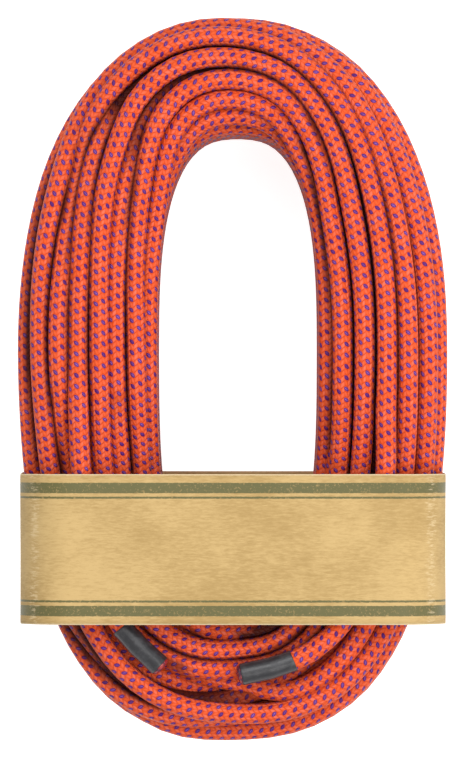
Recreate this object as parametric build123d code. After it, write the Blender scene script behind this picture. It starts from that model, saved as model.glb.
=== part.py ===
from build123d import *
import math
import os

# A 60 m single dynamic climbing rope of 9.8 mm, factory wound into a flat oval hank.
# It lies on its side: the arch points along +Y, the hank's depth runs up +Z, and the
# underside rests at Z = 0. A plain paperboard band holds the two legs together.
# All lengths are in millimetres.

# --- the rope -------------------------------------------------------------------------
ROPE_D = 9.8
CORE_D = 7.0                 # bundle of core strands inside the sheath
CORE_INNER_STRANDS = 3
CORE_OUTER_STRANDS = 9
CORE_STRAND_D = 1.6
CORE_INNER_RING_R = 0.97
CORE_OUTER_RING_R = 2.65
TAPE_W = 0.8                 # tracer tape standing between two outer strands
TAPE_T = 0.1
SLEEVE_L = 26.0              # shrink sleeve over the sheath at each end
SLEEVE_WALL = 0.4
SEAL_L = 2.0                 # melted plug that closes each end
SEAL_ROUND = 1.2

# --- the hank -------------------------------------------------------------------------
WIDEST_Y = 15.0              # where the oval is widest
HANK_HALF_W = 103.0
ARCH_RISE = 159.2            # from the widest line to the top of the arch
FOOT_DROP = 189.0            # from the widest line to the foot
ARCH_POWER = 2.25            # superellipse exponents: 2 is an ellipse, more is boxier
FOOT_POWER = 2.6
EYE_HALF_W = 38.6            # the opening between the legs
EYE_X = 2.4                  # the left leg is a little wider than the right
EYE_RISE = 103.0
EYE_DROP = 125.0
EYE_TOP_POWER = 2.8
EYE_FOOT_POWER = 3.0
HANK_DEPTH = 137.0
OUTER_EDGE_R = 28.0          # roundness of the bundle's section
EYE_EDGE_R = 27.0
STEPS_PER_QUARTER = 7

# --- where the band squeezes the hank -------------------------------------------------
SQUEEZE_TOP_Y = (-2.0, -40.0)    # the front face falls between these two
SQUEEZED_FRONT_Z = 123.0
SQUEEZE_BACK_Y = (-28.0, -41.0)  # the underside lifts between these two
SQUEEZED_BACK_Z = 1.0

# --- the retail band ------------------------------------------------------------------
BAND_TOP_Y = -45.0
BAND_H = 72.0
BAND_T = 0.5
BAND_INNER_HALF_W = 101.6
BAND_INNER_TOP_Z = 134.1
BAND_CORNER_R = 24.0
SEAM_TAPE_W = 19.0
SEAM_TAPE_T = 0.12
SEAM_TAPE_Z = 67.0

# --- the two free tails: hand-set routes of their centrelines -------------------------
TAIL_Z = 128.4               # lying on the squeezed front
TAIL_ROOT_Z = 132.1          # in the front layer of turns
TAIL_A_ROUTE = [
    (73.0, -16.0, TAIL_ROOT_Z),
    (73.5, -46.0, TAIL_Z),
    (70.0, -75.0, TAIL_Z),
    (62.5, -102.0, TAIL_Z),
    (48.0, -123.0, TAIL_Z),
    (27.0, -137.0, TAIL_Z),
    (4.0, -141.0, TAIL_Z),
]
TAIL_B_ROUTE = [
    (-74.0, -14.0, TAIL_ROOT_Z),
    (-73.0, -44.0, TAIL_Z),
    (-70.0, -73.0, TAIL_Z),
    (-64.0, -100.0, TAIL_Z),
    (-52.5, -122.0, TAIL_Z),
    (-35.0, -137.0, TAIL_Z),
]

FAR = 400.0                  # reaches past the whole hank


def quarter(middle_x, half_w, rise, power, right, up):
    """Points of one quarter of a superellipse, from its side to its end."""
    points = []
    for step in range(STEPS_PER_QUARTER + 1):
        angle = math.pi / 2 * step / STEPS_PER_QUARTER
        x = half_w * math.cos(angle) ** (2 / power)
        y = rise * math.sin(angle) ** (2 / power)
        points.append((middle_x + right * x, WIDEST_Y + up * y))
    return points


def oval(middle_x, half_w, rise, drop, rise_power, drop_power):
    """Closed smooth curve made of an upper and a lower superellipse half."""
    top_right = quarter(middle_x, half_w, rise, rise_power, 1, 1)
    top_left = quarter(middle_x, half_w, rise, rise_power, -1, 1)[::-1]
    foot_left = quarter(middle_x, half_w, drop, drop_power, -1, -1)
    foot_right = quarter(middle_x, half_w, drop, drop_power, 1, -1)[::-1]
    points = top_right + top_left[1:] + foot_left[1:] + foot_right[1:-1]
    return Spline(*points, periodic=True)


def squeeze_cutter(near_y, near_z, far_y, far_z, outside_z):
    """Block that takes away what lies outside a gentle S from near_z to far_z."""
    flat_arch = Line((0, FAR, near_z), (0, near_y, near_z))
    bend = Spline((0, near_y, near_z), (0, far_y, far_z), tangents=[(0, -1, 0), (0, -1, 0)])
    flat_foot = Line((0, far_y, far_z), (0, -FAR, far_z))
    outside = Polyline((0, -FAR, far_z), (0, -FAR, outside_z), (0, FAR, outside_z), (0, FAR, near_z))
    profile = make_face([flat_arch, bend, flat_foot, outside])
    return extrude(profile, FAR, both=True, dir=(1, 0, 0))


def near_outer_edge(edge):
    """True for an edge that is nearer the hank's outline than its opening."""
    middle = edge @ 0.5
    mid_half_w = (HANK_HALF_W + EYE_HALF_W) / 2
    mid_rise = (ARCH_RISE + EYE_RISE) / 2
    return (middle.X / mid_half_w) ** 2 + ((middle.Y - WIDEST_Y) / mid_rise) ** 2 > 1


def on_rim(edge):
    """True for an edge that runs round the hank on its front or its underside."""
    return edge.geom_type != GeomType.LINE and abs(edge.tangent_at(0.5).Z) < 0.7


def rope_hank(tail_paths):
    """Outer shape of all the coiled turns, with a groove where each tail leaves them."""
    outline = oval(0, HANK_HALF_W, ARCH_RISE, FOOT_DROP, ARCH_POWER, FOOT_POWER)
    eye = oval(EYE_X, EYE_HALF_W, EYE_RISE, EYE_DROP, EYE_TOP_POWER, EYE_FOOT_POWER)
    ring = extrude(make_face(outline) - make_face(eye), HANK_DEPTH)
    front_y, front_squeezed_y = SQUEEZE_TOP_Y
    back_y, back_squeezed_y = SQUEEZE_BACK_Y
    ring -= squeeze_cutter(front_y, HANK_DEPTH, front_squeezed_y, SQUEEZED_FRONT_Z, FAR)
    ring -= squeeze_cutter(back_y, 0, back_squeezed_y, SQUEEZED_BACK_Z, -FAR)
    ring = fillet([e for e in ring.edges() if on_rim(e) and near_outer_edge(e)], OUTER_EDGE_R)
    eye_rims = [e for e in ring.edges() if on_rim(e) and is_eye_rim(e)]
    ring = fillet(eye_rims, EYE_EDGE_R)
    for path in tail_paths:
        ring -= swept(path, [Circle(ROPE_D / 2)])
    return ring


def is_eye_rim(edge):
    """True for an edge of the opening that still lies on the front or the underside."""
    middle = edge @ 0.5
    flats = (0, SQUEEZED_BACK_Z, SQUEEZED_FRONT_Z, HANK_DEPTH)
    on_a_face = min(abs(middle.Z - flat) for flat in flats) < (HANK_DEPTH - SQUEEZED_FRONT_Z) / 2 + 1
    return not near_outer_edge(edge) and on_a_face and abs(middle.X - EYE_X) < EYE_HALF_W + 1


def tail_path(name, route):
    """Straight runs joined by tangent arcs, each as large as its two runs allow."""
    points = [Vector(*p) for p in route]
    radii = []
    for before, corner, after in zip(points, points[1:], points[2:]):
        run_in = corner - before
        run_out = after - corner
        turn = math.radians(run_in.get_angle(run_out))
        shorter = min(run_in.length, run_out.length)
        radii.append(0.45 * shorter / math.tan(turn / 2))
    print(name, "arc radii:", [round(r, 1) for r in radii])
    return FilletPolyline(*points, radius=radii)


def swept(path, sketches):
    """Sweep flat shapes, drawn round the origin, along a path and return them together."""
    start = Plane(origin=path @ 0, z_dir=path % 0)
    solids = []
    for sketch in sketches:
        solids += sweep(start * sketch, path=path).solids()
    return Compound(children=solids) if len(solids) > 1 else solids[0]


def sheath(path):
    """Braided cover of a tail, a tube round the core."""
    return swept(path, [Circle(ROPE_D / 2) - Circle(CORE_D / 2)])


def core_strands(path):
    """Twelve twisted nylon strands that carry the load, three inside nine."""
    inner = PolarLocations(CORE_INNER_RING_R, CORE_INNER_STRANDS)
    outer = PolarLocations(CORE_OUTER_RING_R, CORE_OUTER_STRANDS)
    strand = Circle(CORE_STRAND_D / 2)
    return swept(path, [place * strand for place in [*inner, *outer]])


def tracer_tape(path):
    """Thin marker tape that stands in the gap between two outer strands."""
    half_step = 180 / CORE_OUTER_STRANDS
    return swept(path, [Rot(0, 0, half_step) * Pos(CORE_OUTER_RING_R, 0) * Rectangle(TAPE_W, TAPE_T)])


def end_frame(path):
    """Plane at a tail's free end, facing out along the rope."""
    return Plane(origin=path @ 1, z_dir=path % 1)


def shrink_sleeve(path):
    """Plain dark sleeve shrunk over the last stretch of the sheath."""
    start = (path.length - SLEEVE_L) / path.length
    last_stretch = path.trim(start, 1)
    ring = Circle(ROPE_D / 2 + SLEEVE_WALL) - Circle(ROPE_D / 2)
    return swept(last_stretch, [ring])


def end_seal(path):
    """Sheath and core melted together into a domed plug."""
    plug = Cylinder(ROPE_D / 2, SEAL_L, align=(Align.CENTER, Align.CENTER, Align.MIN))
    plug = fillet(plug.edges().sort_by(Axis.Z)[-1], SEAL_ROUND)
    return end_frame(path) * plug


def band_section(grow):
    """Rounded rectangle round the squeezed hank and the tails, grown outwards."""
    low = -grow + BAND_T
    high = BAND_INNER_TOP_Z + grow
    shape = RectangleRounded(2 * (BAND_INNER_HALF_W + grow), high - low, BAND_CORNER_R + grow)
    return Plane.XZ.offset(-BAND_TOP_Y) * Pos(0, (low + high) / 2) * shape


def retail_band():
    """One strip of plain paperboard closed into a loop round both legs."""
    return extrude(band_section(BAND_T) - band_section(0), BAND_H)


def seam_tape():
    """Strip of clear tape over the joint of the band, on its right side."""
    middle = (BAND_INNER_HALF_W + BAND_T + SEAM_TAPE_T / 2, BAND_TOP_Y - BAND_H / 2, SEAM_TAPE_Z)
    return Pos(*middle) * Box(SEAM_TAPE_T, BAND_H, SEAM_TAPE_W)


def main():
    os.makedirs("parts", exist_ok=True)
    paths = {"a": tail_path("tail_a", TAIL_A_ROUTE), "b": tail_path("tail_b", TAIL_B_ROUTE)}
    nodes = {
        "rope_hank": rope_hank(paths.values()),
        "retail_band": retail_band(),
        "band_seam_tape": seam_tape(),
    }
    for end, path in paths.items():
        nodes[f"tail_{end}_sheath"] = sheath(path)
        nodes[f"tail_{end}_core_strands"] = core_strands(path)
        nodes[f"tail_{end}_tracer_tape"] = tracer_tape(path)
        nodes[f"end_{end}_sleeve"] = shrink_sleeve(path)
        nodes[f"end_{end}_seal"] = end_seal(path)
        tube = nodes[f"tail_{end}_sheath"].volume
        section = math.pi / 4 * (ROPE_D**2 - CORE_D**2)
        print(f"tail_{end}: {path.length:.1f} mm, volume over section x length", tube / section / path.length)
    for name, shape in nodes.items():
        export_step(shape, f"parts/{name}.step")


main()
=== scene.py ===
import math

import bpy
import numpy as np
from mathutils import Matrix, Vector


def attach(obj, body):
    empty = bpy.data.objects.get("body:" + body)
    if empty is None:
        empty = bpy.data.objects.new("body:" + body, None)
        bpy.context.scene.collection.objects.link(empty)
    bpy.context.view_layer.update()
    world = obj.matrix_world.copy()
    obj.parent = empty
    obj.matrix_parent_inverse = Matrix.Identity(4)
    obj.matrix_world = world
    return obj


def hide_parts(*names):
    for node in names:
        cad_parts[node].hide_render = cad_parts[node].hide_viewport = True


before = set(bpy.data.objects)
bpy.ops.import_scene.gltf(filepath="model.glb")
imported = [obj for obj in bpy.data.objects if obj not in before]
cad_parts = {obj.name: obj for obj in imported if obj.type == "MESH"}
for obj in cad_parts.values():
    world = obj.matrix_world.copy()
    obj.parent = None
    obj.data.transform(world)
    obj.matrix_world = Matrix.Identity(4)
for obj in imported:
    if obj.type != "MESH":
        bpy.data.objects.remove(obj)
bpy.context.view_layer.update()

MM = 0.001
SEED = 11

# ---------------------------------------------------------------------------- the rope
ROPE_D = 9.8 * MM

# The hank's outline and its opening are two ovals, each of two superellipse halves.
WIDEST_Y = 15.0 * MM
OUTLINE = {
    "half_w": 103.0 * MM, "rise": 159.2 * MM, "drop": 189.0 * MM, "rise_power": 2.25, "drop_power": 2.6,
}
EYE = {
    "half_w": 38.6 * MM, "rise": 103.0 * MM, "drop": 125.0 * MM, "rise_power": 2.8, "drop_power": 3.0,
}
EYE_X = 2.4 * MM
OUTER_EDGE_R = 28.0 * MM
EYE_EDGE_R = 27.0 * MM
# The front and the back give way towards the foot, from the near y to the far y.
SQUEEZE_FRONT = {"near_y": -2.0 * MM, "far_y": -40.0 * MM, "near_z": 137.0 * MM, "far_z": 123.0 * MM}
SQUEEZE_BACK = {"near_y": -28.0 * MM, "far_y": -41.0 * MM, "near_z": 0.0, "far_z": 1.0 * MM}

# The free tails in mm, from the coil to the rope's end, along the CAD tubes as seen from the front.
# They lie up to about 5 mm lower than the tubes, on the turns below them.
TAIL_A_ROOT = (73.0, -16.0, 132.1)
TAIL_A = [
    (73.5, -46.0, 127.8), (70.0, -75.0, 125.6), (62.5, -102.0, 124.6),
    (48.0, -123.0, 125.6), (27.0, -137.0, 126.6), (4.0, -141.0, 126.6),
]
TAIL_B_ROOT = (-74.0, -14.0, 132.1)
TAIL_B = [
    (-73.0, -44.0, 127.0), (-70.0, -73.0, 124.4), (-64.0, -100.0, 123.2),
    (-52.5, -122.0, 123.6), (-35.0, -137.0, 124.0),
]
ROOT_LEAD = 14.4 * MM        # the coil's turn hands over to the tail this far before the root

# The winding: turns in each layer, from the front to the underside.
LAYERS = [5, 7, 7, 7, 6, 6, 6, 6, 6, 7, 7, 7, 6]
FIRST_TURN = (0, 2)          # (layer, place): the turn that tail A leaves, and the one tail B leaves
LAST_TURN = (1, 3)
STATIONS = 32                # control points in each turn
CROSSOVER = 6                # stations each side of the foot over which a turn changes slot
WANDER = 0.006               # of the hank's size, by which a turn strays from its slot
WANDER_KNOTS = 9             # places round a turn where the stray changes
RELAX_STEPS = 260
# Shares that a turn moves in one step: of the way home, of the way to straight, and of an overlap.
HOME_PULL = 0.03
BEND_PULL = 0.5
PUSH = 0.6
PUSHES = 2                   # rounds of pushing apart in each step
TOUCH = ROPE_D * 0.985       # turns closer than this push each other apart
HELD_WEIGHT = 0.03           # of a loose turn's give that is left to a turn held in a given place

# Turns that show on the front, at these directions round the oval, in degrees from +X.
# Each has its places across the leg, 0 at the eye and 1 at the outline, then its depths in mm.
SEEN_AT = [-12, 0, 30, 60, 90, 120, 135, 150, 165, 180, 192]
SEEN = {
    (0, 2): (
        [.522, .524, .54, .655, .825, .835, .815, .735, .706, .706, .665],
        [0, 0, 0, 1.5, 6, 7, 8.5, 9.5, 4, 1, 7],
    ),
    (0, 1): (
        [.352, .356, .351, .475, .64, .635, .55, .496, .443, .416, .413],
        [.5, .5, .5, 0, 1.4, 1, .5, 0, 0, 0, 0],
    ),
    (0, 0): (
        [.184, .186, .171, .293, .462, .385, .287, .216, .181, .153, .14],
        [4.5, 4.5, 5, 2, 0, .5, 2, 4.5, 6, 7, 7.5],
    ),
    (1, 0): (
        [.08, .08, .083, .125, .295, .215, .125, .08, .075, .075, .075],
        [15, 15, 14, 9, 4, 6, 9, 12.5, 14.5, 15.5, 16],
    ),
    (2, 0): (
        [.08, .08, .08, .085, .16, .11, .083, .078, .075, .075, .075],
        [24.5, 24.5, 23.5, 18, 10, 13.5, 18, 22, 24, 25, 25.5],
    ),
    (3, 0): (
        [.08, .08, .08, .085, .09, .088, .083, .078, .075, .075, .075],
        [34, 34, 33, 27.5, 19, 23, 27.5, 31.5, 33.5, 34.5, 35],
    ),
    (1, 2): (
        [.258, .26, .252, .385, .55, .52, .42, .353, .318, .30, .287],
        [15, 15, 14, 10.5, 9.5, 8, 4.5, 4, 5, 5.5, 5],
    ),
    (1, 3): (
        [.433, .435, .44, .565, .735, .738, .69, .632, .58, .567, .56],
        [13, 13, 12, 10, 12, 14, 7, 3.5, 1, .5, 0],
    ),
    (0, 3): (
        [.695, .69, .69, .80, .905, .915, .90, .86, .85, .838, .797],
        [2, 2, 2.5, 7, 15.5, 16.5, 13, 7.5, 6, 5.5, 3.5],
    ),
    (0, 4): (
        [.85, .845, .84, .90, .912, .915, .92, .925, .925, .93, .92],
        [10, 9.5, 9, 16, 25, 26, 22.5, 17, 15, 14.5, 15],
    ),
    (1, 6): (
        [.92, .92, .92, .92, .912, .915, .92, .925, .925, .925, .925],
        [18.5, 18, 18, 25, 34.5, 35.5, 32, 27, 25, 24.5, 22.5],
    ),
}
HOLD_FROM, HOLD_TO = -40, 220    # degrees between which those turns are held there
HOLD_BLEND = 25                  # degrees over which the hold comes in

# How dark the painted shade is in the crevice between two of these turns: on the arch, the right leg and the
# left leg.
# Over 1, the painted shade reaches further out of the crevice instead.
CREVICES = {
    ((0, 0), (0, 1)): (0.8, 1.0, 0.7),
    ((0, 0), (1, 2)): (1.0, 1.0, 0.85),
    ((0, 1), (1, 2)): (1.0, 1.0, 0.1),
    ((0, 1), (0, 2)): (0.8, 1.0, 0.8),
    ((0, 1), (1, 3)): (1.0, 1.0, 0.7),
    ((0, 2), (1, 3)): (1.0, 1.0, 0.7),
    ((0, 2), (0, 3)): (0.25, 0.7, 0.95),
    ((0, 3), (0, 4)): (0.1, 0.15, 2.7),
    ((0, 4), (1, 6)): (0.1, 0.1, 2.1),
    ((0, 0), (1, 0)): (0.0, 2.3, 0.1),
    ((1, 0), (2, 0)): (0.0, 2.3, 0.1),
    ((2, 0), (3, 0)): (0.0, 2.3, 0.1),
}
CREVICE_USUAL = 0.15         # between any other two turns
CREVICE_NEAR = 2.0 * MM      # a crevice's painted shade fades out over this gap
CREVICE_GAIN = 1.8
CREVICE_SEARCH = 2           # line points to each side among which the nearest turn is sought
LEG_FROM_Y = 130.0 * MM      # the legs' weights come in below this, over the next stretch
LEG_BLEND = 45.0 * MM
BURIED = [(1, 2), (1, 3)]    # turns that sink between two others get painted shade, coming in between these depths
BURIED_DEPTH = (6.5 * MM, 9.5 * MM)


def superellipse(angle, half_w, rise, drop, rise_power, drop_power):
    """Point of an oval at a parameter angle in radians."""
    c, s = math.cos(angle), math.sin(angle)
    tall, power = (rise, rise_power) if s >= 0 else (drop, drop_power)
    x = math.copysign(abs(c) ** (2 / power), c) * half_w
    y = math.copysign(abs(s) ** (2 / power), s) * tall
    return np.array([x, WIDEST_Y + y])


def across(angle):
    """The eye's and the outline's points at an angle: the two sides of the hank's section."""
    eye = superellipse(angle, **EYE) + [EYE_X, 0]
    return eye, superellipse(angle, **OUTLINE)


def station_angles():
    """Angles from the foot round to the foot, evenly spaced along the middle of the section."""
    fine = np.radians(np.linspace(-90, 270, 2881))
    middle = np.array([sum(across(a)) / 2 for a in fine])
    walked = np.concatenate([[0], np.cumsum(np.linalg.norm(np.diff(middle, axis=0), axis=1))])
    return np.interp(np.arange(STATIONS) / STATIONS * walked[-1], walked, fine)


def squeezed(y, near_y, far_y, near_z, far_z):
    """Height of the hank's front or back face at y, with its gentle S."""
    t = np.clip((near_y - y) / (near_y - far_y), 0, 1)
    return near_z + (far_z - near_z) * t * t * (3 - 2 * t)


def serpentine():
    """Order of the slots (layer, place): down the half beside the eye, then up the outer half."""
    order = []
    for layer, count in enumerate(LAYERS):
        half = range((count + 1) // 2)
        order += [(layer, i) for i in (half if layer % 2 else reversed(half))]
    for layer in reversed(range(len(LAYERS))):
        half = range((LAYERS[layer] + 1) // 2, LAYERS[layer])
        order += [(layer, i) for i in (reversed(half) if layer % 2 else half)]
    order.remove(LAST_TURN)
    order.remove(FIRST_TURN)
    return [FIRST_TURN] + order + [LAST_TURN]


def keep_inside(spots, width, low, high, reach):
    """Move disc centres into the rounded section of the hank, at each station."""
    u, z = spots[..., 0], spots[..., 1]
    np.clip(u, reach, width - reach, out=u)
    np.clip(z, low + reach, high - reach, out=z)
    for radius, side in ((EYE_EDGE_R, 0), (OUTER_EDGE_R, 1)):
        corner_u = radius if side == 0 else width - radius
        past_u = np.maximum((corner_u - u) if side == 0 else (u - corner_u), 0)
        for face, way in ((low + radius, -1), (high - radius, 1)):
            past_z = np.maximum((z - face) * way, 0)
            far = np.hypot(past_u, past_z)
            over = far > radius - reach
            shrink = np.where(over, (radius - reach) / np.maximum(far, 1e-9), 1.0)
            both = over & (past_u > 0) & (past_z > 0)
            u += np.where(both, (1 if side == 0 else -1) * past_u * (1 - shrink), 0)
            z -= np.where(both, way * past_z * (1 - shrink), 0)


def wind():
    """Every turn's place at every station, as (turn, station, (across, up)) in metres."""
    rng = np.random.default_rng(SEED)
    angles = station_angles()
    sides = [across(a) for a in angles]
    width = np.array([np.linalg.norm(o - i) for i, o in sides])
    middle_y = np.array([(i[1] + o[1]) / 2 for i, o in sides])
    high, low = squeezed(middle_y, **SQUEEZE_FRONT), squeezed(middle_y, **SQUEEZE_BACK)
    order = serpentine()
    turns = len(order)
    slot = np.array([((i + 0.5) / LAYERS[layer], (layer + 0.5) / len(LAYERS)) for layer, i in order])
    goal = np.repeat(slot[:, None, :], STATIONS, axis=1)
    for k in range(turns):
        for j in range(CROSSOVER):
            blend = 0.5 - 0.5 * math.cos(math.pi * (0.5 + j / (2 * CROSSOVER)))
            if k > 0:
                goal[k, j] = slot[k - 1] * (1 - blend) + slot[k] * blend
            if k < turns - 1:
                goal[k, -1 - j] = slot[k + 1] * (1 - blend) + slot[k] * blend
    wander = rng.normal(0, 1, (turns, WANDER_KNOTS, 2))
    smooth_at = np.linspace(0, WANDER_KNOTS - 1, STATIONS)
    for k in range(turns):
        for axis in (0, 1):
            goal[k, :, axis] += WANDER * np.interp(smooth_at, np.arange(WANDER_KNOTS), wander[k, :, axis])
    spots = np.empty((turns, STATIONS, 2))
    spots[..., 0] = goal[..., 0] * width
    spots[..., 1] = high - goal[..., 1] * (high - low)

    held = np.zeros((turns, STATIONS))
    held_at = np.zeros((turns, STATIONS, 2))
    degrees = np.degrees(angles)
    hold = np.clip((degrees - HOLD_FROM) / HOLD_BLEND, 0, 1) * np.clip((HOLD_TO - degrees) / HOLD_BLEND, 0, 1)
    for name, (places, depths) in SEEN.items():
        k = order.index(name)
        held[k] = hold
        held_at[k, :, 0] = smooth_curve(degrees, SEEN_AT, places) * width
        held_at[k, :, 1] = high - ROPE_D / 2 - smooth_curve(degrees, SEEN_AT, depths) * MM
    home = spots.copy()
    spots = spots * (1 - held[..., None]) + held_at * held[..., None]

    weight = 1 - (1 - HELD_WEIGHT) * held
    for step in range(RELAX_STEPS):
        calm = 1 - step / RELAX_STEPS
        spots += HOME_PULL * calm * (home - spots) * weight[..., None]
        chain = spots.reshape(-1, 2)
        part = chain / np.tile(np.stack([width, np.ones(STATIONS)], 1), (turns, 1))
        bend = np.zeros_like(part)
        bend[1:-1] = (part[:-2] + part[2:]) / 2 - part[1:-1]
        bend[:, 0] *= np.tile(width, turns)
        spots += BEND_PULL * bend.reshape(spots.shape) * weight[..., None]
        for _ in range(PUSHES):
            gap = spots[:, None] - spots[None, :]
            apart = np.linalg.norm(gap, axis=-1)
            push = np.clip(TOUCH - apart, 0, None) / np.maximum(apart, 1e-6)
            share = weight[:, None] / (weight[:, None] + weight[None, :])
            np.einsum("iij->ij", push)[...] = 0
            spots += PUSH * (gap * (push * share)[..., None]).sum(1)
            keep_inside(spots, width, low, high, ROPE_D / 2)
        spots = spots * (1 - held[..., None]) + held_at * held[..., None]
    gap = spots[:, None] - spots[None, :]
    apart = np.linalg.norm(gap, axis=-1) + np.eye(turns)[:, :, None]
    print("closest turns", round(float(apart.min()) / MM, 2), "mm; usual closest",
          round(float(np.median(apart.min(1))) / MM, 2), "mm; turns", turns)
    return spots, sides, angles, order


def smooth_curve(at, knots, values):
    """Smooth (Catmull-Rom) interpolation, held flat past the ends."""
    knots, values = np.array(knots, float), np.array(values, float)
    slope = np.gradient(values, knots)
    at = np.clip(at, knots[0], knots[-1])
    i = np.clip(np.searchsorted(knots, at) - 1, 0, len(knots) - 2)
    h = knots[i + 1] - knots[i]
    t = (at - knots[i]) / h
    return (
        values[i] * (2 * t**3 - 3 * t**2 + 1)
        + slope[i] * h * (t**3 - 2 * t**2 + t)
        + values[i + 1] * (3 * t**2 - 2 * t**3)
        + slope[i + 1] * h * (t**3 - t**2)
    )


def rope_route():
    """Control points of the whole rope, from tail A's end to tail B's, and the turn each is in."""
    spots, sides, angles, order = wind()
    turns = []
    for turn in spots:
        for (eye, outline), (u, z) in zip(sides, turn):
            out = (outline - eye) / np.linalg.norm(outline - eye)
            x, y = eye + out * u
            turns.append((x, y, z))
    turns = np.array(turns)
    turns[1:-1] -= (turns[:-2] - 2 * turns[1:-1] + turns[2:]) / 8
    turns = [tuple(p) for p in turns]
    root_a, root_b = np.array(TAIL_A_ROOT) * MM, np.array(TAIL_B_ROOT) * MM
    last = len(turns) - STATIONS
    degrees = np.degrees(angles)
    start = next(i for i in range(STATIONS) if degrees[i] > -45 and turns[i][1] > root_a[1] + ROOT_LEAD)
    stop = max(
        i for i in range(STATIONS)
        if 90 < degrees[i] < 225 and turns[last + i][1] > root_b[1] + ROOT_LEAD
    )
    coil = turns[start:last + stop + 1]
    tail_a = [tuple(np.array(p) * MM) for p in reversed(TAIL_A)]
    tail_b = [tuple(np.array(p) * MM) for p in TAIL_B]
    route = tail_a + [tuple(root_a)] + coil + [tuple(root_b)] + tail_b
    before = len(tail_a) + 1 - start
    turn_at = [order[min(max(i - before, 0) // STATIONS, len(order) - 1)] for i in range(len(route))]
    return route, turn_at


def nurbs_line(name, points, steps):
    """Points along a smooth NURBS line that has these control points."""
    curve = bpy.data.curves.new(name, "CURVE")
    curve.dimensions = "3D"
    curve.resolution_u = steps
    spline = curve.splines.new("NURBS")
    spline.points.add(len(points) - 1)
    for target, point in zip(spline.points, points):
        target.co = (*point, 1.0)
    spline.order_u = 3
    spline.use_endpoint_u = True
    holder = bpy.data.objects.new(name, curve)
    mesh = bpy.data.meshes.new_from_object(holder)
    line = np.array([v.co for v in mesh.vertices], float)
    bpy.data.objects.remove(holder)
    bpy.data.meshes.remove(mesh)
    bpy.data.curves.remove(curve)
    return line


def frames_along(line):
    """Tangent and two normals at each point of a line, carried along without twist."""
    tangent = np.gradient(line, axis=0)
    tangent /= np.linalg.norm(tangent, axis=1)[:, None]
    side = np.cross(tangent[0], (0, 0, 1))
    side /= np.linalg.norm(side)
    sides = [side]
    for t in tangent[1:]:
        side = side - t * (side @ t)
        side /= np.linalg.norm(side)
        sides.append(side)
    sides = np.array(sides)
    return tangent, sides, np.cross(tangent, sides)


def disc(radius, ring, middle=(0.0, 0.0)):
    """Points round a circle, as one row of a skin's section."""
    turn = np.arange(ring) * 2 * math.pi / ring
    return np.stack([middle[0] + radius * np.cos(turn), middle[1] + radius * np.sin(turn)], -1)


def skin(centres, side, up, section, along, closed=False):
    """Points, faces and UVs (metres along, turns round) of a skin over rows of section points."""
    section = np.broadcast_to(section, (len(centres), *np.shape(section)[-2:]))
    points = centres[:, None] + section[..., :1] * side[:, None] + section[..., 1:] * up[:, None]
    ring = section.shape[1]
    row = np.arange(len(centres) - (0 if closed else 1))[:, None]
    below = (row + 1) % len(centres)
    i = np.arange(ring)[None, :]
    nxt = (i + 1) % ring
    quads = np.stack([row * ring + i, row * ring + nxt, below * ring + nxt, below * ring + i], -1)
    shape = quads.shape[:2]
    u, u2 = (np.broadcast_to(along[r], shape) for r in (row, below))
    v, v2 = (np.broadcast_to(w, shape) for w in (i / ring, (i + 1) / ring))
    uv = np.stack([u, v, u, v2, u2, v2, u2, v], -1).reshape(-1, 2)
    faces = quads.reshape(-1, 4).tolist()
    if not closed:
        count = len(centres) * ring
        faces += [list(reversed(range(ring))), list(range(count - ring, count))]
        uv = np.concatenate([uv, np.zeros((2 * ring, 2))])
    return points.reshape(-1, 3), faces, uv


def mesh_piece(name, skins):
    """One smooth object made of one or more skins."""
    points, faces, uvs, base = [], [], [], 0
    for skin_points, skin_faces, skin_uv in skins:
        points.append(skin_points)
        faces += [[base + i for i in face] for face in skin_faces] if base else skin_faces
        uvs.append(skin_uv)
        base += len(skin_points)
    mesh = bpy.data.meshes.new(name)
    mesh.from_pydata(np.concatenate(points).tolist(), [], faces)
    layer = mesh.uv_layers.new(name="rope")
    layer.data.foreach_set("uv", np.concatenate(uvs).astype(np.float32).ravel())
    mesh.polygons.foreach_set("use_smooth", np.ones(len(mesh.polygons), bool))
    mesh.update()
    piece = bpy.data.objects.new(name, mesh)
    bpy.context.scene.collection.objects.link(piece)
    return piece


def tube_mesh(name, line, radius, ring):
    """Closed tube round a line."""
    _, side, up = frames_along(line)
    return mesh_piece(name, [skin(line, side, up, disc(radius, ring), distances(line))])


def distances(line):
    return np.concatenate([[0], np.cumsum(np.linalg.norm(np.diff(line, axis=0), axis=1))])


def frames_at(line, s):
    """Centre, side and up at distances s from a line's start; straight on where s is negative."""
    tangent, side, up = frames_along(line)
    along = distances(line)
    centre, across_, over = (
        np.stack([np.interp(s, along, values[:, i]) for i in range(3)], -1) for values in (line, side, up)
    )
    return centre + np.minimum(s, 0)[:, None] * tangent[0], across_, over


def turned(name, line, profile, ring, closed):
    """Round piece on a line's start: a ring at each (distance along the line, radius) in mm."""
    s, radius = np.array(profile).T * MM
    centre, side, up = frames_at(line, s)
    section = radius[:, None, None] * disc(1.0, ring)[None]
    return mesh_piece(name, [skin(centre, side, up, section, s, closed)])


def crevice_weights(turn_at):
    """Number of the turn at each control point, and the CREVICES weights as (zone, turn, turn)."""
    names = sorted(set(turn_at))
    number = {name: i for i, name in enumerate(names)}
    weights = np.full((3, len(names), len(names)), CREVICE_USUAL)
    for (one, other), zones in CREVICES.items():
        weights[:, number[one], number[other]] = weights[:, number[other], number[one]] = zones
    buried = [number[name] for name in BURIED]
    return np.array([number[name] for name in turn_at]), weights, buried


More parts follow.
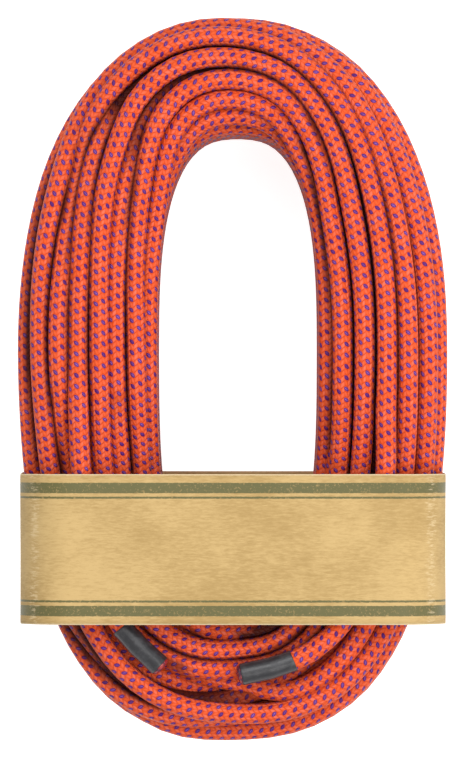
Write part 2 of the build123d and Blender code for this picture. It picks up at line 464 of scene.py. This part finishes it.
def mark_crevices(piece, line, radius, ring, turn_at):
    """Vertex attribute "crevice" of painted shade: 1 is darkest, where the tube touches another turn or is
    buried.
    """
    tangent = frames_along(line)[0]
    points = np.array([v.co for v in piece.data.vertices]).reshape(len(line), ring, 3)
    numbers, weights, buried = crevice_weights(turn_at)
    number = numbers[np.minimum(np.arange(len(line)) // LINE_STEPS + 1, len(numbers) - 1)]
    leg = np.clip((LEG_FROM_Y - line[:, 1]) / LEG_BLEND, 0, 1)
    zone = np.stack([1 - leg, leg * (line[:, 0] > 0), leg * (line[:, 0] <= 0)])
    depth = squeezed(line[:, 1], **SQUEEZE_FRONT) - radius - line[:, 2]
    sunk = np.clip((depth - BURIED_DEPTH[0]) / (BURIED_DEPTH[1] - BURIED_DEPTH[0]), 0, 1)
    dark = np.repeat((sunk * np.isin(number, buried))[:, None], ring, axis=1)
    per_turn = STATIONS * LINE_STEPS
    for offset in range(per_turn // 2, len(line) - 1):
        if min(offset % per_turn, -offset % per_turn) > CREVICE_SEARCH:      # never opposite each other
            continue
        early, late = slice(None, -offset), slice(offset, None)
        for here, there in ((early, late), (late, early)):
            close = np.linalg.norm(line[here] - line[there], axis=1) < 2 * (radius + CREVICE_NEAR)
            at = np.flatnonzero(close)
            if not len(at):
                continue
            i, j = np.arange(len(line))[here][at], np.arange(len(line))[there][at]
            apart = points[i] - line[j][:, None]
            t = tangent[i][:, None]
            apart = apart - t * (apart * t).sum(-1, keepdims=True)
            gap = np.linalg.norm(apart, axis=-1) - radius
            weight = (weights[:, number[i], number[j]] * zone[:, i]).sum(0)
            reach = CREVICE_NEAR * np.maximum(weight, 1)[:, None]
            shade = np.clip(CREVICE_GAIN * (1 - gap / reach), 0, 1) * np.minimum(weight, 1)[:, None]
            dark[i] = np.maximum(dark[i], shade)
    layer = piece.data.attributes.new("crevice", "FLOAT", "POINT")
    layer.data.foreach_set("value", dark.astype(np.float32).ravel())


# ----------------------------------------------------------------------------- camera
CAMERA_HEIGHT = 4.0
PX_FOCAL = 8092.0
FRAME_PX_H = 760
SENSOR = 24.0


def make_camera():
    """Looks straight down on the hank, arch at the top of the picture."""
    data = bpy.data.cameras.new("camera")
    data.sensor_fit = "VERTICAL"
    data.sensor_height = SENSOR
    data.lens = SENSOR * PX_FOCAL / FRAME_PX_H
    camera = bpy.data.objects.new("camera", data)
    camera.location = (0, 0, CAMERA_HEIGHT)
    bpy.context.scene.collection.objects.link(camera)
    bpy.context.scene.camera = camera


def area_light(name, place, target, size, watts, colour):
    data = bpy.data.lights.new(name, "AREA")
    data.shape = "DISK"
    data.size = size
    data.energy = watts
    data.color = colour
    light = bpy.data.objects.new(name, data)
    light.location = place
    light.rotation_euler = (Vector(target) - Vector(place)).to_track_quat("-Z", "Y").to_euler()
    bpy.context.scene.collection.objects.link(light)


def make_studio():
    """Pale floor, soft key from the right, weaker fill from above left."""
    mesh = bpy.data.meshes.new("floor")
    half = 6.0
    corners = [(-half, -half, 0), (half, -half, 0), (half, half, 0), (-half, half, 0)]
    mesh.from_pydata(corners, [], [(0, 1, 2, 3)])
    floor = bpy.data.objects.new("floor", mesh)
    bpy.context.scene.collection.objects.link(floor)
    material = bpy.data.materials.new("floor_white")
    material.use_nodes = True
    shader = material.node_tree.nodes["Principled BSDF"]
    shader.inputs["Base Color"].default_value = (0.7, 0.7, 0.7, 1)
    shader.inputs["Roughness"].default_value = 0.9
    shader.inputs["Emission Color"].default_value = (1, 1, 1, 1)
    shader.inputs["Emission Strength"].default_value = 0.85
    mesh.materials.append(material)
    floor.visible_diffuse = False
    middle = (0, 0, 0.06)
    area_light("key", (0.6, -0.4, 1.32), middle, 0.9, 10.9, (1, 0.99, 0.97))
    area_light("top", (-0.1, 0.65, 1.35), middle, 0.9, 9.5, (1, 1, 1))
    area_light("rim", (1.3, 0.2, 0.55), middle, 0.5, 3.0, (1, 0.97, 1))
    area_light("left", (-1.0, 0.3, 1.1), middle, 0.9, 0.4, (0.97, 0.98, 1))
    world = bpy.data.worlds.new("studio")
    world.use_nodes = True
    background = world.node_tree.nodes["Background"]
    background.inputs["Color"].default_value = (1, 1, 1, 1)
    background.inputs["Strength"].default_value = 0.72
    bpy.context.scene.world = world
    bpy.context.scene.view_settings.view_transform = "Standard"


# -------------------------------------------------------------------------- materials
class Tree:
    """Small helper that adds nodes to a material and wires them."""

    def __init__(self, name):
        self.material = bpy.data.materials.new(name)
        self.material.use_nodes = True
        self.nodes = self.material.node_tree.nodes
        self.links = self.material.node_tree.links
        self.shader = self.nodes["Principled BSDF"]

    def add(self, kind, **settings):
        node = self.nodes.new(kind)
        for key, value in settings.items():
            setattr(node, key, value)
        return node

    def wire(self, source, socket):
        if isinstance(source, (int, float, tuple)):
            socket.default_value = source
        else:
            self.links.new(source, socket)

    def math(self, operation, *values):
        node = self.add("ShaderNodeMath", operation=operation)
        for value, socket in zip(values, node.inputs):
            self.wire(value, socket)
        return node.outputs[0]

    def mix(self, factor, a, b):
        node = self.add("ShaderNodeMix", data_type="RGBA")
        self.wire(factor, node.inputs[0])
        self.wire(a, node.inputs[6])
        self.wire(b, node.inputs[7])
        return node.outputs[2]


COLUMNS = 8                  # columns of each slant round the rope
PATTERN_TURN = 0.3           # of a column
CREVICE_DARK = 0.95          # how far the painted crevice shade darkens the sheath where two turns touch
# Near-black colour of the painted crevice shade.
CREVICE_SHADE_COLOUR = (0.03, 0.003, 0.002, 1)
FLECK_PITCH = 5.1 * MM       # along the rope; every second float of a column is violet
COLUMN_W = math.pi * ROPE_D / COLUMNS
COLUMN_LIFT = 0.25           # of a pitch, from one column to the next
ROW_H = FLECK_PITCH / 2
YARN_TAN = 1.4               # slant of the yarns from the rope's axis
FLOAT_REACH = (1.12 * MM, 1.28 * MM)     # half a float of each slant, measured round the rope
FLOAT_POWER = (2.4, 2.2)     # how squarely a float's ends and its sides round off
FLECK_POWER = 2.4            # the same for a violet fleck
FLECK_EDGE = 0.86            # and where its rim is
FLECK_SHORT = 1.18           # a violet float is this much shorter than its row
FLECK_LEVEL = 0.12           # of a row, by which a float lies flatter than its yarn
FLECK_WIDE = 1.14            # and this much wider than its float's reach
ORANGE = (0.70, 0.093, 0.019, 1)
# Paler orange: painted highlight on the floats' crests.
ORANGE_CREST_HIGHLIGHT = (0.74, 0.165, 0.11, 1)
# Deeper orange: painted shade where the floats dip into the weave.
ORANGE_HOLLOW_SHADE = (0.57, 0.053, 0.009, 1)
VIOLET = (0.09, 0.014, 0.135, 1)
# Darker violet: painted shade at a fleck's rim.
VIOLET_RIM_SHADE = (0.04, 0.004, 0.032, 1)
# Lilac: painted highlight on a fleck.
LILAC_HIGHLIGHT = (0.32, 0.14, 0.52, 1)


def steep(t, value, power):
    return t.math("POWER", t.math("ABSOLUTE", value), power)


def float_family(t, along, round_, lean, start, reach):
    """One family of braid floats: row number, place in the row, place across, and height."""
    turn = t.math("SUBTRACT", round_, start)
    column = t.math("ROUND", turn)
    across_ = t.math("MULTIPLY", t.math("SUBTRACT", turn, column), COLUMN_W)
    lifted = t.math("SUBTRACT", t.math("DIVIDE", along, ROW_H),
                    t.math("MULTIPLY", t.math("ADD", column, start), 2 * COLUMN_LIFT))
    row = t.math("ADD", lifted, t.math("MULTIPLY", across_, lean / (YARN_TAN * ROW_H)))
    number = t.math("FLOOR", row)
    place = t.math("SUBTRACT", t.math("SUBTRACT", row, number), 0.5)
    side = t.math("DIVIDE", across_, reach)
    crown = t.math("SUBTRACT", 1.0, steep(t, t.math("MULTIPLY", place, 2.0), FLOAT_POWER[0]))
    dive = t.math("SUBTRACT", 1.0, steep(t, side, FLOAT_POWER[1]))
    height = t.math("MULTIPLY", t.math("MAXIMUM", crown, 0.0), t.math("MAXIMUM", dive, -1.0))
    return column, number, place, side, height


def sheath_material():
    """Two-over-two braid: orange floats in both slants, violet ones in every second row of one; with painted
    shade where floats dip, in crevices and on fleck rims, and painted highlights on float crests and flecks.
    """
    t = Tree("rope_sheath")
    uv = t.add("ShaderNodeUVMap", uv_map="rope")
    split = t.add("ShaderNodeSeparateXYZ")
    t.wire(uv.outputs[0], split.inputs[0])
    along = split.outputs[0]
    round_ = t.math("SUBTRACT", t.math("MULTIPLY", split.outputs[1], COLUMNS), PATTERN_TURN)
    column, number, place, side, height = float_family(t, along, round_, 1, 0.0, FLOAT_REACH[0])
    column_b, number_b, place_b, side_b, height_b = float_family(t, along, round_, -1, 0.5, FLOAT_REACH[1])
    on_a = t.math("GREATER_THAN", height, height_b)
    on_b = t.math("SUBTRACT", 1.0, on_a)
    top = t.math("MAXIMUM", height, height_b)
    even = t.math("LESS_THAN", t.math("FLOORED_MODULO", number, 2.0), 0.5)
    level = t.math("SUBTRACT", place, t.math("MULTIPLY", side, FLECK_LEVEL))
    pill = t.math("ADD",
                  steep(t, t.math("MULTIPLY", level, 2 * FLECK_SHORT), FLECK_POWER),
                  steep(t, t.math("MULTIPLY", side, 1 / FLECK_WIDE), FLECK_POWER))
    fleck = t.math("MULTIPLY", even, t.math("LESS_THAN", pill, FLECK_EDGE))

    cell = t.add("ShaderNodeCombineXYZ")
    shown = t.math("ADD", t.math("MULTIPLY", number, on_a), t.math("MULTIPLY", number_b, on_b))
    t.wire(shown, cell.inputs[0])
    t.wire(t.math("FLOORED_MODULO", column, float(COLUMNS)), cell.inputs[1])
    t.wire(on_a, cell.inputs[2])
    chance = t.add("ShaderNodeTexWhiteNoise", noise_dimensions="3D")
    t.wire(cell.outputs[0], chance.inputs[0])
    luck = chance.outputs["Value"]

    ply_a = t.math("COSINE", t.math("MULTIPLY", place, 6 * math.pi))
    ply_b = t.math("COSINE", t.math("MULTIPLY", place_b, 6 * math.pi))
    ply = t.math("ADD", t.math("MULTIPLY", ply_a, on_a), t.math("MULTIPLY", ply_b, on_b))
    # Painted shade and highlight: a float darkens to a deeper orange where it dips into the weave, and its
    # crest is painted paler at a random strength per float.
    lit = t.math("ADD", t.math("MULTIPLY", top, 0.85), t.math("MULTIPLY", ply, 0.10))
    body = t.mix(t.math("MINIMUM", t.math("MAXIMUM", lit, 0.0), 1.0), ORANGE_HOLLOW_SHADE, ORANGE)
    crest_highlight = t.math("MULTIPLY", t.math("MULTIPLY", t.math("MAXIMUM", top, 0.0), luck),
                  t.math("SUBTRACT", 0.75, t.math("MULTIPLY", on_a, 0.45)))
    body = t.mix(crest_highlight, body, ORANGE_CREST_HIGHLIGHT)
    # A violet fleck is painted darker at its rim as painted shade, with a painted lilac highlight near its
    # middle at a random strength per float.
    middle = t.math("MAXIMUM", t.math("SUBTRACT", 1.0, t.math("MULTIPLY", pill, 1.15)), 0.0)
    yarn = t.mix(t.math("MINIMUM", t.math("MULTIPLY", middle, 2.4), 1.0), VIOLET_RIM_SHADE, VIOLET)
    ridge = t.math("ADD", t.math("MULTIPLY", ply_a, 0.5), 0.5)
    glint = t.math("MULTIPLY", t.math("MULTIPLY", middle, luck), ridge)
    yarn = t.mix(t.math("MULTIPLY", glint, 0.9), yarn, LILAC_HIGHLIGHT)
    # Painted shade: the crevice attribute darkens the sheath towards near-black in crevices between turns and
    # on buried turns.
    crevice = t.add("ShaderNodeAttribute", attribute_name="crevice")
    shade = t.math("MULTIPLY", crevice.outputs["Fac"], CREVICE_DARK)
    t.wire(t.mix(shade, t.mix(fleck, body, yarn), CREVICE_SHADE_COLOUR), t.shader.inputs["Base Color"])

    t.wire(t.math("SUBTRACT", 0.5, t.math("MULTIPLY", fleck, 0.15)), t.shader.inputs["Roughness"])
    t.shader.inputs["Specular IOR Level"].default_value = 0.10
    t.shader.inputs["Sheen Weight"].default_value = 0.03
    t.shader.inputs["Sheen Roughness"].default_value = 0.35
    t.shader.inputs["Sheen Tint"].default_value = (1.0, 0.55, 0.66, 1)
    dome = t.math("MULTIPLY", t.math("MULTIPLY", fleck, middle), 0.7)
    bump(t, t.math("ADD", t.math("ADD", top, t.math("MULTIPLY", ply, 0.12)), dome), 0.6, 0.0005)
    return t.material


SLEEVE_BLACK = (0.018, 0.018, 0.021, 1)
SLEEVE_DUSTY = (0.034, 0.034, 0.038, 1)
MELT_RED = (0.33, 0.022, 0.018, 1)
MELT_DARK = (0.055, 0.010, 0.035, 1)
YARN_WHITE = (0.86, 0.85, 0.80, 1)
YARN_SHADE = (0.55, 0.53, 0.48, 1)
TAPE_BLUE = (0.04, 0.15, 0.42, 1)
TAPE_PALE = (0.30, 0.50, 0.68, 1)
BOARD = (0.50, 0.345, 0.145, 1)
BOARD_DARK = (0.36, 0.235, 0.085, 1)
BOARD_WORN = (0.68, 0.54, 0.33, 1)
BOARD_INK = (0.085, 0.085, 0.028, 1)
CLEAR_TAPE = (0.80, 0.76, 0.64, 1)
YARNS_IN_STRAND = 3.0
YARN_TURNS = 260.0           # yarns that pass in a metre of strand
TAPE_BLOCK = 8.0 * MM        # length of a blue and a pale block together
INK_SOFT = 0.2 * MM          # over which a printed edge fades


def noise(t, vector, scale, detail, rough=0.5):
    node = t.add("ShaderNodeTexNoise")
    t.wire(vector, node.inputs["Vector"])
    node.inputs["Scale"].default_value = scale
    node.inputs["Detail"].default_value = detail
    node.inputs["Roughness"].default_value = rough
    return node.outputs["Fac"]


def stretched(t, source, scale):
    node = t.add("ShaderNodeMapping")
    t.wire(source, node.inputs["Vector"])
    node.inputs["Scale"].default_value = scale
    return node.outputs[0]


def bump(t, height, strength, distance):
    node = t.add("ShaderNodeBump")
    node.inputs["Strength"].default_value = strength
    node.inputs["Distance"].default_value = distance
    t.wire(height, node.inputs["Height"])
    t.wire(node.outputs[0], t.shader.inputs["Normal"])


def ramp(t, value, low, high):
    """0 below low, 1 above high, smooth between."""
    node = t.add("ShaderNodeMapRange", interpolation_type="SMOOTHSTEP")
    t.wire(value, node.inputs["Value"])
    node.inputs["From Min"].default_value = low
    node.inputs["From Max"].default_value = high
    return node.outputs[0]


def sleeve_material():
    """Black heat-shrink: satin, with faint lengthwise wrinkles and a little dust."""
    t = Tree("shrink_sleeve")
    uv = t.add("ShaderNodeUVMap", uv_map="rope").outputs[0]
    place = t.add("ShaderNodeTexCoord").outputs["Object"]
    wrinkle = noise(t, stretched(t, uv, (50, 14, 1)), 1.0, 3.0)
    grain = noise(t, place, 900.0, 2.0)
    dust = ramp(t, noise(t, place, 260.0, 4.0, 0.65), 0.45, 0.7)
    t.wire(t.mix(dust, SLEEVE_BLACK, SLEEVE_DUSTY), t.shader.inputs["Base Color"])
    t.wire(t.math("ADD", t.math("MULTIPLY", dust, 0.16), 0.34), t.shader.inputs["Roughness"])
    bump(t, t.math("ADD", wrinkle, t.math("MULTIPLY", grain, 0.15)), 0.3, 0.0005)
    return t.material


def melt_material():
    """Nylon melted shut: glossy dark red with violet-black swirls and small bubbles."""
    t = Tree("melted_end")
    place = t.add("ShaderNodeTexCoord").outputs["Object"]
    swirl = noise(t, place, 420.0, 4.0, 0.6)
    t.wire(t.mix(ramp(t, swirl, 0.42, 0.6), MELT_RED, MELT_DARK), t.shader.inputs["Base Color"])
    t.wire(t.math("ADD", t.math("MULTIPLY", swirl, 0.25), 0.15), t.shader.inputs["Roughness"])
    t.shader.inputs["Subsurface Weight"].default_value = 0.08
    t.shader.inputs["Subsurface Radius"].default_value = (0.002, 0.0006, 0.0005)
    bubbles = t.add("ShaderNodeTexVoronoi")
    t.wire(place, bubbles.inputs["Vector"])
    bubbles.inputs["Scale"].default_value = 900.0
    bump(t, t.math("ADD", swirl, t.math("MULTIPLY", bubbles.outputs["Distance"], 0.3)), 0.7, 0.0006)
    return t.material


def core_material():
    """White nylon strands, each of three yarns twisted together."""
    t = Tree("core_yarn")
    uv = t.add("ShaderNodeUVMap", uv_map="rope").outputs[0]
    split = t.add("ShaderNodeSeparateXYZ")
    t.wire(uv, split.inputs[0])
    turn = t.math("ADD", t.math("MULTIPLY", split.outputs[1], YARNS_IN_STRAND),
                  t.math("MULTIPLY", split.outputs[0], YARN_TURNS))
    ply = t.math("ABSOLUTE", t.math("SINE", t.math("MULTIPLY", turn, math.pi)))
    fibre = noise(t, stretched(t, uv, (900, 40, 1)), 1.0, 2.0)
    lit = t.math("MULTIPLY", t.math("POWER", ply, 0.6), t.math("ADD", t.math("MULTIPLY", fibre, 0.5), 0.7))
    t.wire(t.mix(t.math("MINIMUM", lit, 1.0), YARN_SHADE, YARN_WHITE), t.shader.inputs["Base Color"])
    t.shader.inputs["Roughness"].default_value = 0.55
    t.shader.inputs["Sheen Weight"].default_value = 0.25
    bump(t, t.math("ADD", ply, t.math("MULTIPLY", fibre, 0.3)), 0.8, 0.0002)
    return t.material


def tracer_material():
    """Thin glossy film, blue with paler blocks along it."""
    t = Tree("tracer_tape")
    uv = t.add("ShaderNodeUVMap", uv_map="rope")
    split = t.add("ShaderNodeSeparateXYZ")
    t.wire(uv.outputs[0], split.inputs[0])
    block = t.math("FLOORED_MODULO", t.math("MULTIPLY", split.outputs[0], 1 / TAPE_BLOCK), 1.0)
    t.wire(t.mix(ramp(t, block, 0.62, 0.66), TAPE_BLUE, TAPE_PALE), t.shader.inputs["Base Color"])
    t.shader.inputs["Roughness"].default_value = 0.18
    t.shader.inputs["Coat Weight"].default_value = 0.4
    bump(t, noise(t, stretched(t, uv.outputs[0], (300, 4, 1)), 1.0, 2.0), 0.3, 0.0001)
    return t.material


def board_material():
    """Uncoated brown board: fibres, mottling, two printed bands, pale worn edges and corners."""
    t = Tree("paperboard")
    place = t.add("ShaderNodeTexCoord").outputs["Object"]
    split = t.add("ShaderNodeSeparateXYZ")
    t.wire(place, split.inputs[0])
    cloud = noise(t, place, 18.0, 4.0, 0.6)
    fibre = noise(t, stretched(t, place, (240, 1100, 240)), 1.0, 4.0, 0.7)
    speck = noise(t, place, 900.0, 3.0, 0.7)
    tone = t.math("ADD", t.math("MULTIPLY", cloud, 0.55), t.math("MULTIPLY", fibre, 0.45))
    board = t.mix(ramp(t, tone, 0.36, 0.62), BOARD_DARK, BOARD)
    board = t.mix(t.math("MULTIPLY", ramp(t, speck, 0.62, 0.75), 0.45), board, BOARD_DARK)

    in_from_edge = t.math("SUBTRACT", BAND_H / 2,
                          t.math("ABSOLUTE", t.math("SUBTRACT", split.outputs[1], BAND_TOP_Y - BAND_H / 2)))
    wobble = t.math("MULTIPLY", t.math("SUBTRACT", noise(t, place, 700.0, 3.0), 0.5), 0.0005)
    near = t.math("ADD", in_from_edge, wobble)
    stripe, thin = (
        t.math("MULTIPLY", ramp(t, near, low, low + INK_SOFT),
               t.math("SUBTRACT", 1.0, ramp(t, near, high, high + INK_SOFT)))
        for low, high in (STRIPE, THIN_STRIPE)
    )
    outside = t.add("ShaderNodeAttribute", attribute_name="outside").outputs["Fac"]
    ink = t.math("MULTIPLY", t.math("MULTIPLY", t.math("MAXIMUM", stripe, thin), outside),
                 t.math("SUBTRACT", 0.93, t.math("MULTIPLY", ramp(t, speck, 0.55, 0.7), 0.5)))
    board = t.mix(ink, board, BOARD_INK)

    fold = t.add("ShaderNodeAttribute", attribute_name="fold").outputs["Fac"]
    crack = ramp(t, t.math("MULTIPLY", fold, fibre), 0.46, 0.62)
    rubbed = t.math("SUBTRACT", 1.0, ramp(t, near, 0.0001, 0.0009))
    worn = t.math("MAXIMUM", rubbed, t.math("MULTIPLY", crack, 0.45))
    t.wire(t.mix(worn, board, BOARD_WORN), t.shader.inputs["Base Color"])
    t.wire(t.math("SUBTRACT", 0.78, t.math("MULTIPLY", ink, 0.28)), t.shader.inputs["Roughness"])
    t.shader.inputs["Specular IOR Level"].default_value = 0.3
    relief = t.math("ADD", t.math("MULTIPLY", fibre, 0.5), t.math("MULTIPLY", cloud, 1.5))
    bump(t, t.math("ADD", relief, t.math("MULTIPLY", crack, 0.3)), 0.45, 0.0003)
    return t.material


def clear_tape_material():
    """Clear packing tape: pale, glossy and half see-through, with a few trapped streaks."""
    t = Tree("clear_tape")
    place = t.add("ShaderNodeTexCoord").outputs["Object"]
    streak = noise(t, stretched(t, place, (1, 40, 300)), 1.0, 3.0)
    t.shader.inputs["Base Color"].default_value = CLEAR_TAPE
    t.wire(t.math("ADD", t.math("MULTIPLY", streak, 0.3), 0.18), t.shader.inputs["Alpha"])
    t.wire(t.math("ADD", t.math("MULTIPLY", streak, 0.2), 0.05), t.shader.inputs["Roughness"])
    bump(t, streak, 0.35, 0.0003)
    return t.material


# ------------------------------------------------------------------------- rope's ends
# The first five are in mm.
SLEEVE_L = 26.0
SLEEVE_OUT_R = 5.3
SLEEVE_IN_R = 4.93
SEAL_L = 2.0
SEAL_R = 4.88
FINE_RING = 48
STRAND_RING = 10
CORE_FROM = 0.4 * MM         # the core starts this far behind the rope's end
CORE_STEP = 2.5 * MM
TAIL_CORE = {"a": 160.7, "b": 134.5}         # mm of core modelled behind each end
TWIST_LAY = 70.0 * MM
STRAND_R = 0.8 * MM
STRANDS = [(0.97 * MM, 3), (2.65 * MM, 9)]   # (distance from the middle, how many)
TRACER_R = 2.65 * MM
TRACER_HALF = (0.4 * MM, 0.05 * MM)


def sleeve(name, line):
    """Shrunk tube with rounded lips and shallow rings where it gripped unevenly."""
    outer = []
    for i in range(41):
        at = 0.35 + (SLEEVE_L - 0.7) * i / 40
        ripple = 0.02 * math.sin(at * 1.1) + 0.03 * math.sin(at * 0.47 + 1)
        outer.append((at, SLEEVE_OUT_R - 0.05 + ripple))
    tip = [(0.12, SLEEVE_IN_R + 0.07), (0.0, (SLEEVE_IN_R + SLEEVE_OUT_R) / 2), (0.12, SLEEVE_OUT_R - 0.09)]
    lip = [(SLEEVE_L - at, radius) for at, radius in reversed(tip)]
    inner = [(SLEEVE_L - 0.4 - (SLEEVE_L - 0.8) * i / 12, SLEEVE_IN_R) for i in range(13)]
    return turned(name, line, tip + outer + lip + inner, FINE_RING, closed=True)


def seal(name, line):
    """Dome of melted nylon on the rope's end."""
    profile = []
    for i in range(13):
        angle = math.pi / 2 * (0.02 + 0.98 * i / 12)
        profile.append((-SEAL_L * math.cos(angle) ** 0.8, SEAL_R * math.sin(angle) ** 0.7))
    return turned(name, line, profile, FINE_RING, closed=False)


def core_strands(name, line, reach):
    """Twelve strands that twist together inside the sheath."""
    s = np.arange(CORE_FROM, reach * MM, CORE_STEP)
    centre, side, up = frames_at(line, s)
    twist = 2 * math.pi * s / TWIST_LAY
    skins = []
    for radius, count in STRANDS:
        for k in range(count):
            angle = twist + 2 * math.pi * k / count
            middle = radius * np.stack([np.cos(angle), np.sin(angle)], -1)
            skins.append(skin(centre, side, up, middle[:, None] + disc(STRAND_R, STRAND_RING)[None], s))
    return mesh_piece(name, skins)


def tracer_tape(name, line, reach):
    """Flat tape between two of the outer strands, twisting with them."""
    s = np.arange(CORE_FROM, reach * MM, CORE_STEP)
    centre, side, up = frames_at(line, s)
    angle = 2 * math.pi * s / TWIST_LAY + math.pi / STRANDS[1][1]
    out = np.stack([np.cos(angle), np.sin(angle)], -1)
    round_ = np.stack([-np.sin(angle), np.cos(angle)], -1)
    half_w, half_t = TRACER_HALF
    corners = [(TRACER_R + a * half_w, b * half_t) for a, b in ((-1, -1), (1, -1), (1, 1), (-1, 1))]
    section = np.stack([a * out + b * round_ for a, b in corners], 1)
    return mesh_piece(name, [skin(centre, side, up, section, s)])


# ------------------------------------------------------------------------------- band
BAND_TOP_Y = -45.0 * MM
BAND_H = 72.0 * MM
BAND_T = 0.5 * MM
BAND_HALF_W = 101.6 * MM
BAND_LOW, BAND_HIGH = 0.5 * MM, 134.1 * MM
BAND_CORNER_R = 24.0 * MM
BAND_SEAM_Z = 67.0 * MM
BAND_SEAM_GAP = 0.3 * MM
BAND_ROWS = 24
BAND_STEP = 3.0 * MM
BEND_STEPS = 16              # in each corner
FOLD_SPREAD = 3.5            # of those steps, over which a corner counts as folded
BULGE = 1.0 * MM
BULGE_BLEND = 20.0 * MM      # from the seam, and the height above the floor where bulging starts
BAND_BEVEL = 0.08 * MM
STRIPE = (4.0 * MM, 9.0 * MM)                # printed bands, in from each edge
THIN_STRIPE = (10.6 * MM, 11.6 * MM)


def band_loop(step):
    """Inner line of the band: points, outward normals and foldedness, from seam to seam."""
    wide, tall = BAND_HALF_W - BAND_CORNER_R, (BAND_HIGH - BAND_LOW) / 2 - BAND_CORNER_R
    middle_z = (BAND_LOW + BAND_HIGH) / 2
    half_gap = BAND_SEAM_GAP / 2
    points, normals, folds = [], [], []

    def run(start, end, normal):
        count = max(2, round(math.dist(start, end) / step))
        for i in range(count + 1):
            t = i / count
            points.append([a + (b - a) * t for a, b in zip(start, end)])
            normals.append(normal)
            folds.append(0.0)

    def bend(centre, start_angle):
        for i in range(1, BEND_STEPS):
            angle = start_angle + math.pi / 2 * i / BEND_STEPS
            out = (math.cos(angle), math.sin(angle))
            points.append([centre[0] + out[0] * BAND_CORNER_R, centre[1] + out[1] * BAND_CORNER_R])
            normals.append(out)
            folds.append(math.exp(-(((i - BEND_STEPS / 2) / FOLD_SPREAD) ** 2)))

    right, top, low = BAND_HALF_W, BAND_HIGH, BAND_LOW
    run((right, BAND_SEAM_Z + half_gap), (right, middle_z + tall), (1, 0))
    bend((wide, middle_z + tall), 0)
    run((wide, top), (-wide, top), (0, 1))
    bend((-wide, middle_z + tall), math.pi / 2)
    run((-right, middle_z + tall), (-right, middle_z - tall), (-1, 0))
    bend((-wide, middle_z - tall), math.pi)
    run((-wide, low), (wide, low), (0, -1))
    bend((wide, middle_z - tall), 1.5 * math.pi)
    run((right, middle_z - tall), (right, BAND_SEAM_Z - half_gap), (1, 0))
    return np.array(points), np.array(normals), np.array(folds)


def board_band(name):
    """Strip of board bent round both legs, bulging a little where nothing backs it."""
    points, normals, folds = band_loop(BAND_STEP)
    count = len(points)
    centre = np.stack([points[:, 0], np.full(count, BAND_TOP_Y), points[:, 1]], -1)
    outward = np.stack([normals[:, 0], np.zeros(count), normals[:, 1]], -1)
    side = np.tile([0.0, -1.0, 0.0], (count, 1))
    along = distances(points)
    level = np.linspace(0, BAND_H, BAND_ROWS + 1)
    from_seam = np.minimum(along, along[-1] - along)
    free = np.clip(from_seam / BULGE_BLEND, 0, 1)[:, None] * (centre[:, 2:] > BULGE_BLEND)
    wave = 0.5 + 0.5 * np.sin(along[:, None] * 61 + level[None, :] * 19 + 0.6)
    wave = wave * 0.35 + 0.25 * (0.5 + 0.5 * np.sin(along[:, None] * 143 - level[None, :] * 57))
    bulge = wave * free * BULGE
    bevel = np.zeros(BAND_ROWS + 1)
    bevel[[0, -1]] = BAND_BEVEL
    outer = np.stack([np.broadcast_to(level, bulge.shape), bulge + BAND_T - bevel], -1)
    inner = np.stack([np.broadcast_to(level, bulge.shape), bulge + bevel], -1)
    section = np.concatenate([outer, inner[:, ::-1]], 1)
    piece = mesh_piece(name, [skin(centre, side, outward, section, along)])
    rows = 2 * (BAND_ROWS + 1)
    outside = np.tile(np.arange(rows) <= BAND_ROWS, count).astype(np.float32)
    for key, values in (("outside", outside), ("fold", np.repeat(folds, rows).astype(np.float32))):
        piece.data.attributes.new(key, "FLOAT", "POINT").data.foreach_set("value", values)
    return piece


# ------------------------------------------------------------------------------ build
RING = 12
LINE_STEPS = 3               # line points for each control point
END_POINTS = 40              # line points that the pieces on an end need

make_camera()
route, turn_at = rope_route()
line = nurbs_line("rope_route", route, LINE_STEPS)
length = float(np.linalg.norm(np.diff(line, axis=0), axis=1).sum())
print("rope length", round(length, 3), "m; control points", len(route), "line points", len(line))
rope = tube_mesh("climbing_rope", line, ROPE_D / 2, RING)
mark_crevices(rope, line, ROPE_D / 2, RING, turn_at)


def place(piece, material, body, slot, *nodes):
    """Give a piece its material and its body, and hide the CAD nodes it replaces; slot is not used."""
    piece.data.materials.append(material)
    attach(piece, body)
    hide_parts(*nodes)
    return piece


place(rope, sheath_material(), "rope", "rope_sheath", "rope_hank", "tail_a_sheath", "tail_b_sheath")
black, melt, core, tracer = sleeve_material(), melt_material(), core_material(), tracer_material()
fittings = []
for end, inward in (("a", line), ("b", line[::-1])):
    near_end = inward[:END_POINTS]
    reach = TAIL_CORE[end]
    cover = sleeve(f"shrink_sleeve_{end}", near_end)
    plug = seal(f"melted_end_{end}", near_end)
    strands = core_strands(f"core_strands_{end}", near_end, reach)
    tape = tracer_tape(f"tracer_tape_{end}", near_end, reach)
    fittings += [
        place(cover, black, "rope", "shrink_sleeve", f"end_{end}_sleeve"),
        place(plug, melt, "rope", "melted_end", f"end_{end}_seal"),
        place(strands, core, "rope", "core_yarn", f"tail_{end}_core_strands"),
        place(tape, tracer, "rope", "tracer_tape", f"tail_{end}_tracer_tape"),
    ]
place(board_band("board_band"), board_material(), "band", "paperboard", "retail_band")
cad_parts["band_seam_tape"].material_slots[0].material = clear_tape_material()
make_studio()
